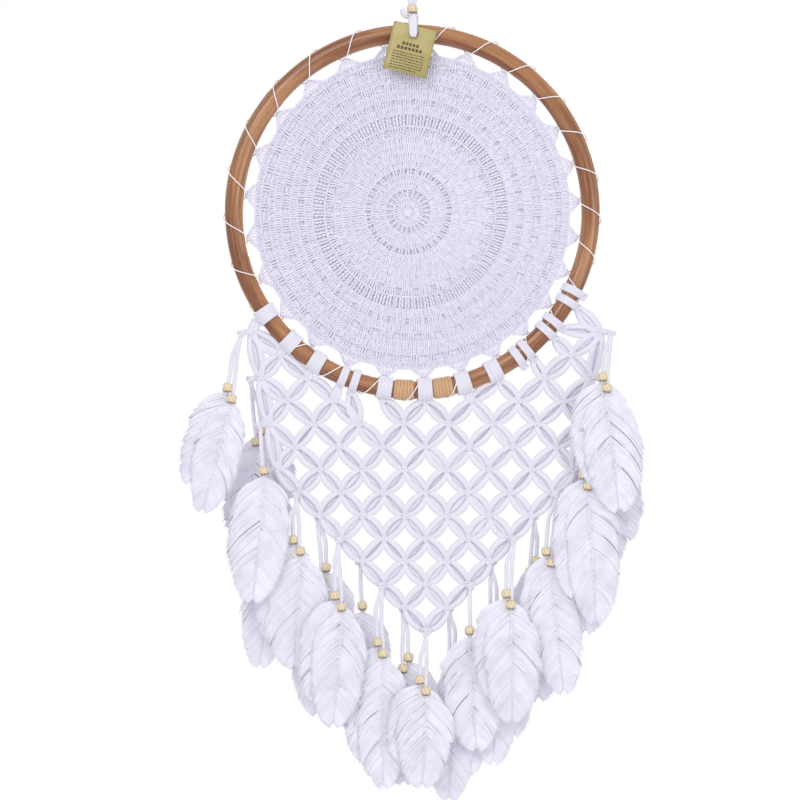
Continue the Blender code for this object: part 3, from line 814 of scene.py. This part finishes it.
def make_bands(finish):
    """Yarn wrapped round the cane, strand beside strand: each wrap is a flat loop whose width wavers."""
    shapes = []
    for angle, wraps, width in [(a, 4, 0.0125) for a in WIDE_BANDS] + [(a, 2, 0.0066) for a in NARROW_BANDS]:
        step = width / wraps
        turn = np.linspace(0, math.tau, 40, endpoint=False)
        offsets = (np.arange(wraps) - (wraps - 1) / 2) * step
        lean = random.normal(0, 0.35, wraps)
        place = offsets[:, None] * (1 + 0.06 * np.cos(turn + 1.0)) + 0.0004 * np.sin(turn + lean[:, None])
        reach = CANE_RADIUS + 0.00095 + 0.0002 * np.sin(2 * turn + 3 * lean[:, None])
        path = around_cane(angle + np.degrees(place / HOOP_RADIUS), reach, turn)
        radial = unit(path - on_hoop(angle + np.degrees(place / HOOP_RADIUS), HOOP_RADIUS))
        shapes.append(strands(path, 0.60 * step, 10, radial, flat=0.5, closed=True))
    make_piece("hoop_bands", merged(shapes), finish, "hoop")


def make_net(finish):
    cells = [(column, row) for row in range(TOP_ROW, LAST_ROW + 1) for column in range(-WIDEST, WIDEST + 1)]
    knots = {cell: knot_place(*cell) for cell in cells if is_knot(*cell)}
    bands = on_hoop(np.array(WIDE_BANDS + NARROW_BANDS), HOOP_RADIUS + CANE_RADIUS + 0.0026)
    links = net_links(knots, bands)
    places = np.concatenate((list(knots.values()), bands))
    shapes = petals(links) + [net_knots(places)] + pendant_ties(knots)
    net = make_piece("macrame_yarn", merged(shapes), finish, "hoop", ["macrame_net"])


# Strings, beads and feathers


def vary(number, phase, amount):
    return 1 + amount * math.sin(2.4 * number + phase)


def edge_knots():
    left = [(-WIDEST, row) for row in range(TOP_ROW, LAST_ROW - WIDEST, 2)]
    left += [(row - LAST_ROW, row) for row in range(LAST_ROW - WIDEST, LAST_ROW)]
    return left + [(0, LAST_ROW)] + [(-column, row) for column, row in reversed(left)]


def layer_of(number):
    """Depth of this pendant, as in the frame: even ones in front of the net, neighbours by turns."""
    count = len(edge_knots())
    steps = [n // 2 % 2 for n in range(count)]
    for topmost, below in ((0, 2), (1, 3), (count - 2, count - 4), (count - 1, count - 3)):
        steps[topmost] = steps[below] + 1
    depth = LAYER_START + LAYER_STEP * steps[number]
    return depth if number % 2 else -depth


def bead_shape(middle, axis, radius=BEAD_RADIUS, half=0.0036, bore=0.0014):
    """A turned barrel: round the axis, the profile goes from the bore over the outside and back."""
    outer = np.linspace(-1, 1, 9)
    profile_z = np.concatenate((outer * half, (half * 0.5, -half * 0.5)))
    profile_r = np.concatenate((radius * (1 - 0.24 * np.abs(outer) ** 3.2), (bore, bore)))
    spin = np.arange(20) / 20 * math.tau
    axis = unit(np.array(axis, float))
    side = unit(np.cross(axis, (0, 1, 0)))
    front = np.cross(axis, side)
    ring = np.cos(spin)[:, None] * side + np.sin(spin)[:, None] * front
    points = middle + profile_r[None, :, None] * ring[:, None] + profile_z[None, :, None] * axis
    return closed_grid(points)


def strand_path(number, pivot, lean, layer, end, offset):
    """The string's middle line: it eases out to its layer, and to `offset` beside the middle."""
    heights = np.linspace(0.001, end, 24)
    share = np.clip(-heights / 0.022, 0, 1)
    ease = share * share * (3 - 2 * share)
    start = math.copysign(LAYER_START, layer)
    sway = 0.0005 * np.sin(heights / 0.009 + number)
    x = lean * heights + offset * ease + sway
    return pivot + np.stack((x, start + (layer - start) * ease, heights), -1)


# the side of a knot that its strand's cross-section starts from
KNOT_REFERENCE = (0.12, 1, 0.08)


def trefoil(steps, size, depth):
    """A knot: size * (sin t + 2 sin 2t, -depth * sin 3t, cos t - 2 cos 2t), once round."""
    t = np.linspace(0, math.tau, steps, endpoint=False)
    x = np.sin(t) + 2 * np.sin(2 * t)
    z = np.cos(t) - 2 * np.cos(2 * t)
    return size * np.stack((x, -depth * np.sin(3 * t), z), -1)


def make_string(name, path, body, finishes, beads, replaces=()):
    """One hanging strand, the knot under its bead and its beads."""
    width = STRING_RADIUS * (1 - 0.05 * np.sin(np.arange(len(path)) * 1.7))
    width[-3:] *= 0.8
    tail = strands(path[None], width, 8, flat=0.8)
    knot = path[-1] + trefoil(24, 0.0007, 1.1)
    knot = strands(knot[None], 0.0008, 6, reference=KNOT_REFERENCE, closed=True)
    strand = make_piece(name, merged((tail, knot)), finishes["yarn"], body, replaces)
    made = [make_piece(bead_name, bead_shape(middle, axis), finishes["wood"], body)
            for bead_name, middle, axis in beads]


def vane_profile(t):
    """Half width of the vane as a share of the widest: it opens fast, stays broad and ends blunt."""
    return (1 - np.exp(-t / 0.08)) * (1 - t**5) ** 0.5 * (0.86 + 0.14 * np.sin(np.pi * t))


def vane_side(side, length, width, shaft_at):
    """One side of the vane: close barbs over thin webs of barbules.

    A barb leaves the shaft at `base` and ends at `tip`, where the profile stands. It bows outwards by
    0.16 * reach * sin(pi u). Clumps of barbs lean together, and each has its own web, so that the vane
    splits between them.
    """
    down = np.linspace(0.012, 0.995, BARBS)
    clump = np.cumsum(random.random(BARBS) < 0.07)
    lean = random.normal(0, 0.09, clump[-1] + 1)[clump] + random.normal(0, 0.02, BARBS)
    ragged = random.normal(1, 0.05, clump[-1] + 1)[clump] + random.normal(0, 0.03, BARBS)
    reach = width / 2 * vane_profile(down) * ragged
    slant = np.clip(0.95 + 0.55 * down + lean, 0.6, 2.1)
    base = np.clip(down * length - reach * slant, 0.0, 0.985 * length)
    root = shaft_at(base / length)[:, None]
    tip = shaft_at(down)[:, None]
    tip[..., 0] += side * reach[:, None]
    tip[..., 2] = np.clip(tip[..., 2] - 0.01 * lean[:, None] * reach[:, None] / width, -1.02 * length, 0)

    def barb_points(u):
        path = root + (tip - root) * u[None, :, None]
        path[..., 0] += side * 0.16 * reach[:, None] * np.sin(np.pi * u)
        path[..., 1] += 0.0003 * u**2
        return path

    u = np.linspace(0, 1, 7)
    path = barb_points(u)
    path[..., 1] -= 0.0002
    path[..., 1] += random.normal(0, 0.00010, BARBS)[:, None] * u
    spacing = length / BARBS
    shapes = [strands(path, spacing * (0.62 - 0.42 * u**2) * np.ones((BARBS, 1)), 4, flat=0.3)]
    web = barb_points(np.linspace(0, 0.93, 7))
    for number in np.unique(clump):
        rows = np.flatnonzero(clump == number)
        rows = np.arange(max(rows[0] - 1, 0), rows[-1] + 1)[::-side]
        if len(rows) > 1:
            thin = np.array((0, 0.00022, 0))
            shapes.append(slab(web[rows], web[rows] + thin, (width / 2, len(rows) * spacing)))
    return shapes


def feather_shapes(length, width, bend):
    """A feather hanging from the origin, in X and Z, as (vane, shaft). The shaft curves aside by
    bend * s squared and stands a little in front of the vane."""

    def shaft_at(s):
        return np.stack((bend * s**2, -0.0004 * np.sin(np.pi * s), -s * length), -1)

    shaft_s = np.linspace(0, 1, 22)
    shaft_path = shaft_at(shaft_s) + (0, -0.0002, 0)
    shaft = strands(shaft_path[None], 0.0006 * (1 - 0.85 * shaft_s), 6)
    return merged(vane_side(-1, length, width, shaft_at) + vane_side(1, length, width, shaft_at)), shaft


def placed(shape, turn, place):
    """The shape turned about Y and moved."""
    points = shape[0]
    x = points[:, 0] * math.cos(turn) + points[:, 2] * math.sin(turn)
    z = -points[:, 0] * math.sin(turn) + points[:, 2] * math.cos(turn)
    return (np.stack((x, points[:, 1], z), -1) + place, *shape[1:])


def make_feather(name, number, length, width, turn, place, finishes, replaces=()):
    tag = f"{number + 1:02d}"
    vane, shaft = feather_shapes(length, width, 0.004 * math.sin(1.7 * number))
    vane, shaft = placed(vane, turn, place), placed(shaft, turn, place)
    make_piece(f"{name}_vane_{tag}", vane, finishes["vane"], f"pendant_{tag}", replaces)
    make_piece(f"{name}_shaft_{tag}", shaft, finishes["shaft"], f"pendant_{tag}")


def make_pendant(number, finishes):
    column, _ = edge_knots()[number]
    body = f"pendant_{number + 1:02d}"
    pivot, layer = PIVOTS[body], layer_of(number)
    length = FEATHER_LENGTH * vary(number, 2.0, 0.09) * (1.0 if column else MIDDLE_SHORTER)
    width = FEATHER_WIDTH * vary(number, 4.1, 0.08)
    if number == 0:
        length, width = 0.84 * length, 0.88 * width
    first = -STRING_LENGTH * vary(number, 0.6, 0.14)
    last = first if number % 5 == 2 else first - BEAD_DROP
    low = last - BEAD_RADIUS - 0.001
    if number == 0:
        turn, lean = math.radians(FIRST_FEATHER_LEAN), math.tan(math.radians(FIRST_STRING_LEAN))
    else:
        turn = -math.radians(FLARE * column / WIDEST)
        lean = length / 2 * math.sin(turn) / low
    along = unit(np.array((lean, 0, 1)))
    main = strand_path(number, pivot, lean, layer, low + 0.0008, 0.0)
    bead = pivot + np.array((lean * last, layer, last))
    make_string(f"string_{number + 1:02d}", main, body, finishes,
                [(f"bead_{number + 1:02d}", bead, along)], [f"beaded_string_{number + 1:02d}"])
    if last != first:
        aside = 0.0048 * (1 if number % 2 else -1)
        second = strand_path(number + 5, pivot, lean, layer, first - 0.0045, aside)
        height = np.interp(-first, -second[:, 2] + pivot[2], np.arange(len(second)))
        middle = np.array([np.interp(height, np.arange(len(second)), second[:, axis]) for axis in range(3)])
        tilt = unit(along + np.array((0.25 * math.sin(3.1 * number), 0.0, 0)))
        make_string(f"second_string_{number + 1:02d}", second, body, finishes,
                    [(f"second_bead_{number + 1:02d}", middle, tilt)])
        fan = math.radians(7.0 * (-1 if aside > 0 else 1))
        make_feather("second_feather", number, 0.9 * length, 0.98 * width, turn + fan,
                     second[-1] + (0, FEATHER_DEPTH, 0), finishes)
    place = pivot + np.array((lean * low, layer, low - GAP))
    make_feather("feather", number, length, width, turn, place - (0, FEATHER_DEPTH, 0), finishes,
                 [f"feather_{number + 1:02d}"])


# Hanger and tag


def make_hanger(finishes):
    """The cord's route repeats the frame's: over the nail, down through the bead and round the cane."""
    top = -CANE_TOP[2] + HANGER_RADIUS
    left = [(-0.0022, 0, top - 0.0008), (-0.0042, 0, top - 0.0055), (-0.0032, 0, top - 0.0155),
            (-STRAND_SPACING, 0, 0.0255), (-STRAND_SPACING, 0, 0.0195), (-STRAND_SPACING, 0, 0.0140)]
    for step in range(8):
        turn = math.radians(24 + (180 - 24) * step / 8)
        x = -STRAND_SPACING * (1 - step / 8)
        left.append((x, -HANGER_RING * math.sin(turn), HANGER_RING * math.cos(turn)))
    right = [(-x, -y, z) for x, y, z in reversed(left)]
    route = CANE_TOP + np.array(left + [(0, 0, -HANGER_RING)] + right)
    path = smooth_path(np.concatenate((route[7:], route[:8])), 120)
    shape = strands(path[None], 0.0021, 10, carried(path, (0.3, 1, 0)), flat=0.6)
    cord = make_piece("hanging_tape", shape, finishes["yarn"], "hanger", ["hanging_cord"])
    bead_middle = CANE_TOP + np.array((0, 0, 0.0205))
    bead = bead_shape(bead_middle, (0, 0, 1), 0.00475, 0.0036, 0.0027)
    bead = make_piece("hanging_bead", bead, finishes["wood"], "hanger", ["hanger_bead"])
    knot = CANE_TOP + (0, 0, 0.0142) + trefoil(48, 0.0014, 1.0)
    stub_route = np.array(((0.0, -0.0030, 0.0138), (-0.0030, -0.0040, 0.0136), (-0.0062, -0.0030, 0.0150),
                           (-0.0080, -0.0015, 0.0178), (-0.0084, -0.0010, 0.0205)))
    stub = smooth_path(CANE_TOP + stub_route, 22)
    pieces = (strands(knot[None], 0.0015, 8, reference=KNOT_REFERENCE, closed=True),
              strands(stub[None], np.linspace(0.0018, 0.0026, 22), 10, flat=0.6))
    knotted = make_piece("hanging_knot", merged(pieces), finishes["yarn"], "hanger")


def tag_frame(x, y, z):
    """Points given on the tag, from its hole, in the row frame."""
    turn = math.radians(TAG_TURN)
    return TAG_HOLE_PLACE + np.stack(np.broadcast_arrays(
        x * math.cos(turn) + z * math.sin(turn), y, -x * math.sin(turn) + z * math.cos(turn)), -1)


def card_bow(x, z):
    """How far the card stands back from flat at this point: it curls a little towards its corners."""
    return 0.0007 * (x / 0.0187) ** 2 + 0.0005 * (z / 0.035) ** 2


def make_card(finish):
    """Rays from the hole's edge to the card's edge, front and back, joined round both edges."""
    half, top, bottom = TAG_SIZE[0] / 2, TAG_HOLE_DROP, TAG_HOLE_DROP - TAG_SIZE[1]
    corners = np.arctan2((top, top, bottom, bottom), (half, -half, -half, half))
    spin = np.sort(np.concatenate((np.linspace(-math.pi, math.pi, 96, endpoint=False), corners)))
    cos, sin = np.cos(spin), np.sin(spin)
    to_side = half / np.maximum(np.abs(cos), 1e-9)
    to_end = np.where(sin > 0, top, -bottom) / np.maximum(np.abs(sin), 1e-9)
    edge = np.minimum(to_side, to_end)
    share = np.array((0, 0.25, 0.5, 0.75, 1.0))
    out = TAG_HOLE + (edge[:, None] - TAG_HOLE) * share
    x, z = out * cos[:, None], out * sin[:, None]
    bow = card_bow(x, z)
    front = tag_frame(x, bow - TAG_THICKNESS / 2, z)
    back = tag_frame(x, bow + TAG_THICKNESS / 2, z)
    points = np.concatenate((front, back[:, ::-1]), axis=1)
    return make_piece("tag_card", closed_grid(points[::-1]), finish, "tag", ["tag"])


def print_bars():
    """Plain bars in place of words, as (left, right, low, high): two headings of even blocks, then
    seven small lines of uneven ones."""
    bars = []
    for z, blocks, pitch in ((-0.0105, 5, 0.0030), (-0.0144, 7, 0.0032)):
        lefts = (np.arange(blocks) - blocks / 2) * pitch
        bars += [(left, left + 0.72 * pitch, z - 0.0013, z + 0.0013) for left in lefts]
    for line in range(7):
        z, left, end = -0.0184 - 0.0023 * line, -0.0138, 0.0138 - 0.004 * (line == 6)
        while left < end:
            right = min(left + random.uniform(0.0012, 0.0042), end)
            bars.append((left, right, z - 0.0004, z + 0.0004))
            left = right + 0.0007
    return np.array(bars)


def make_print(finish):
    bars = print_bars()
    x = bars[:, (0, 1, 1, 0)]
    z = bars[:, (2, 2, 3, 3)]
    bow = card_bow(x, z) - TAG_THICKNESS / 2
    front, back = tag_frame(x, bow - 0.00006, z), tag_frame(x, bow + 0.0001, z)
    points = np.concatenate((front, back), axis=1).reshape(-1, 3)
    faces = np.array(((0, 1, 2, 3), (7, 6, 5, 4), (0, 4, 5, 1), (1, 5, 6, 2), (2, 6, 7, 3), (3, 7, 4, 0)))
    quads = (np.arange(len(bars))[:, None, None] * 8 + faces).reshape(-1, 4)
    shape = (points, quads, NO_TRIANGLES, np.zeros((len(quads), 4, 2)))
    piece = make_piece("tag_print", shape, finish, "tag")
    piece.data.shade_flat()


def make_tag(finishes):
    """The tag hangs on a flat ribbon: broad where it lies over the front of the card, and gathered where
    it goes through the hole, up behind the card and through the hanging cord."""
    make_card(finishes["card"])
    make_print(finishes["ink"])
    route = [(0.0, -0.0122, 0.0140), (0.0001, -0.0150, 0.0112), (0.0003, -0.0164, 0.0070),
             (0.0005, -0.0167, 0.0020), (0.0008, -0.0170, -0.0035), (0.0012, -0.0164, -0.0052),
             (0.0014, -0.0146, -0.0026), (0.0022, -0.0131, 0.0006), (0.0034, -0.0131, 0.0044),
             (0.0044, -0.0112, 0.0098), (0.0044, -0.0060, 0.0142), (0.0038, 0.0005, 0.0156),
             (0.0, 0.0040, 0.0156), (-0.0038, 0.0005, 0.0156), (-0.0034, -0.0080, 0.0150)]
    path = smooth_path(CANE_TOP + np.array(route), 96, closed=True)
    along = np.concatenate(([0], np.cumsum(np.linalg.norm(np.diff(path, axis=0), axis=1))))
    front = np.clip((along + 0.002) / 0.007, 0, 1) * np.clip((0.0215 - along) / 0.004, 0, 1)
    width = 0.0009 + 0.0029 * front**0.5
    shape = strands(path[None], width, 10, carried(path, (0, 1, 0)), flat=0.22, closed=True)
    ribbon = make_piece("tag_ribbon", shape, finishes["yarn"], "tag", ["tag_loop"])


def main():
    finishes = {
        "cotton": spun_cotton("crochet_cotton", "#ebe8f7", "#e1ddf0"),
        "thread": spun_cotton("lacing_thread", "#fbf8fb", "#efe9ef"),
        "yarn": jersey_yarn(), "vane": feather_vane(), "shaft": feather_shaft(), "wood": turned_wood(),
        "card": gold_card(), "ink": printing_ink(),
    }
    rattan, strip = varnished_rattan(), peeled_cane()
    make_camera()
    make_light()
    make_floor(studio_floor())
    make_hanger(finishes)
    make_tag(finishes)
    for number in range(len(edge_knots())):
        make_pendant(number, finishes)
    make_hoop(rattan)
    for side in BINDING_ANGLES:
        make_binding(side, strip)
    make_web(finishes["cotton"])
    make_lacing(finishes["thread"])
    make_bands(finishes["yarn"])
    make_net(finishes["yarn"])


main()
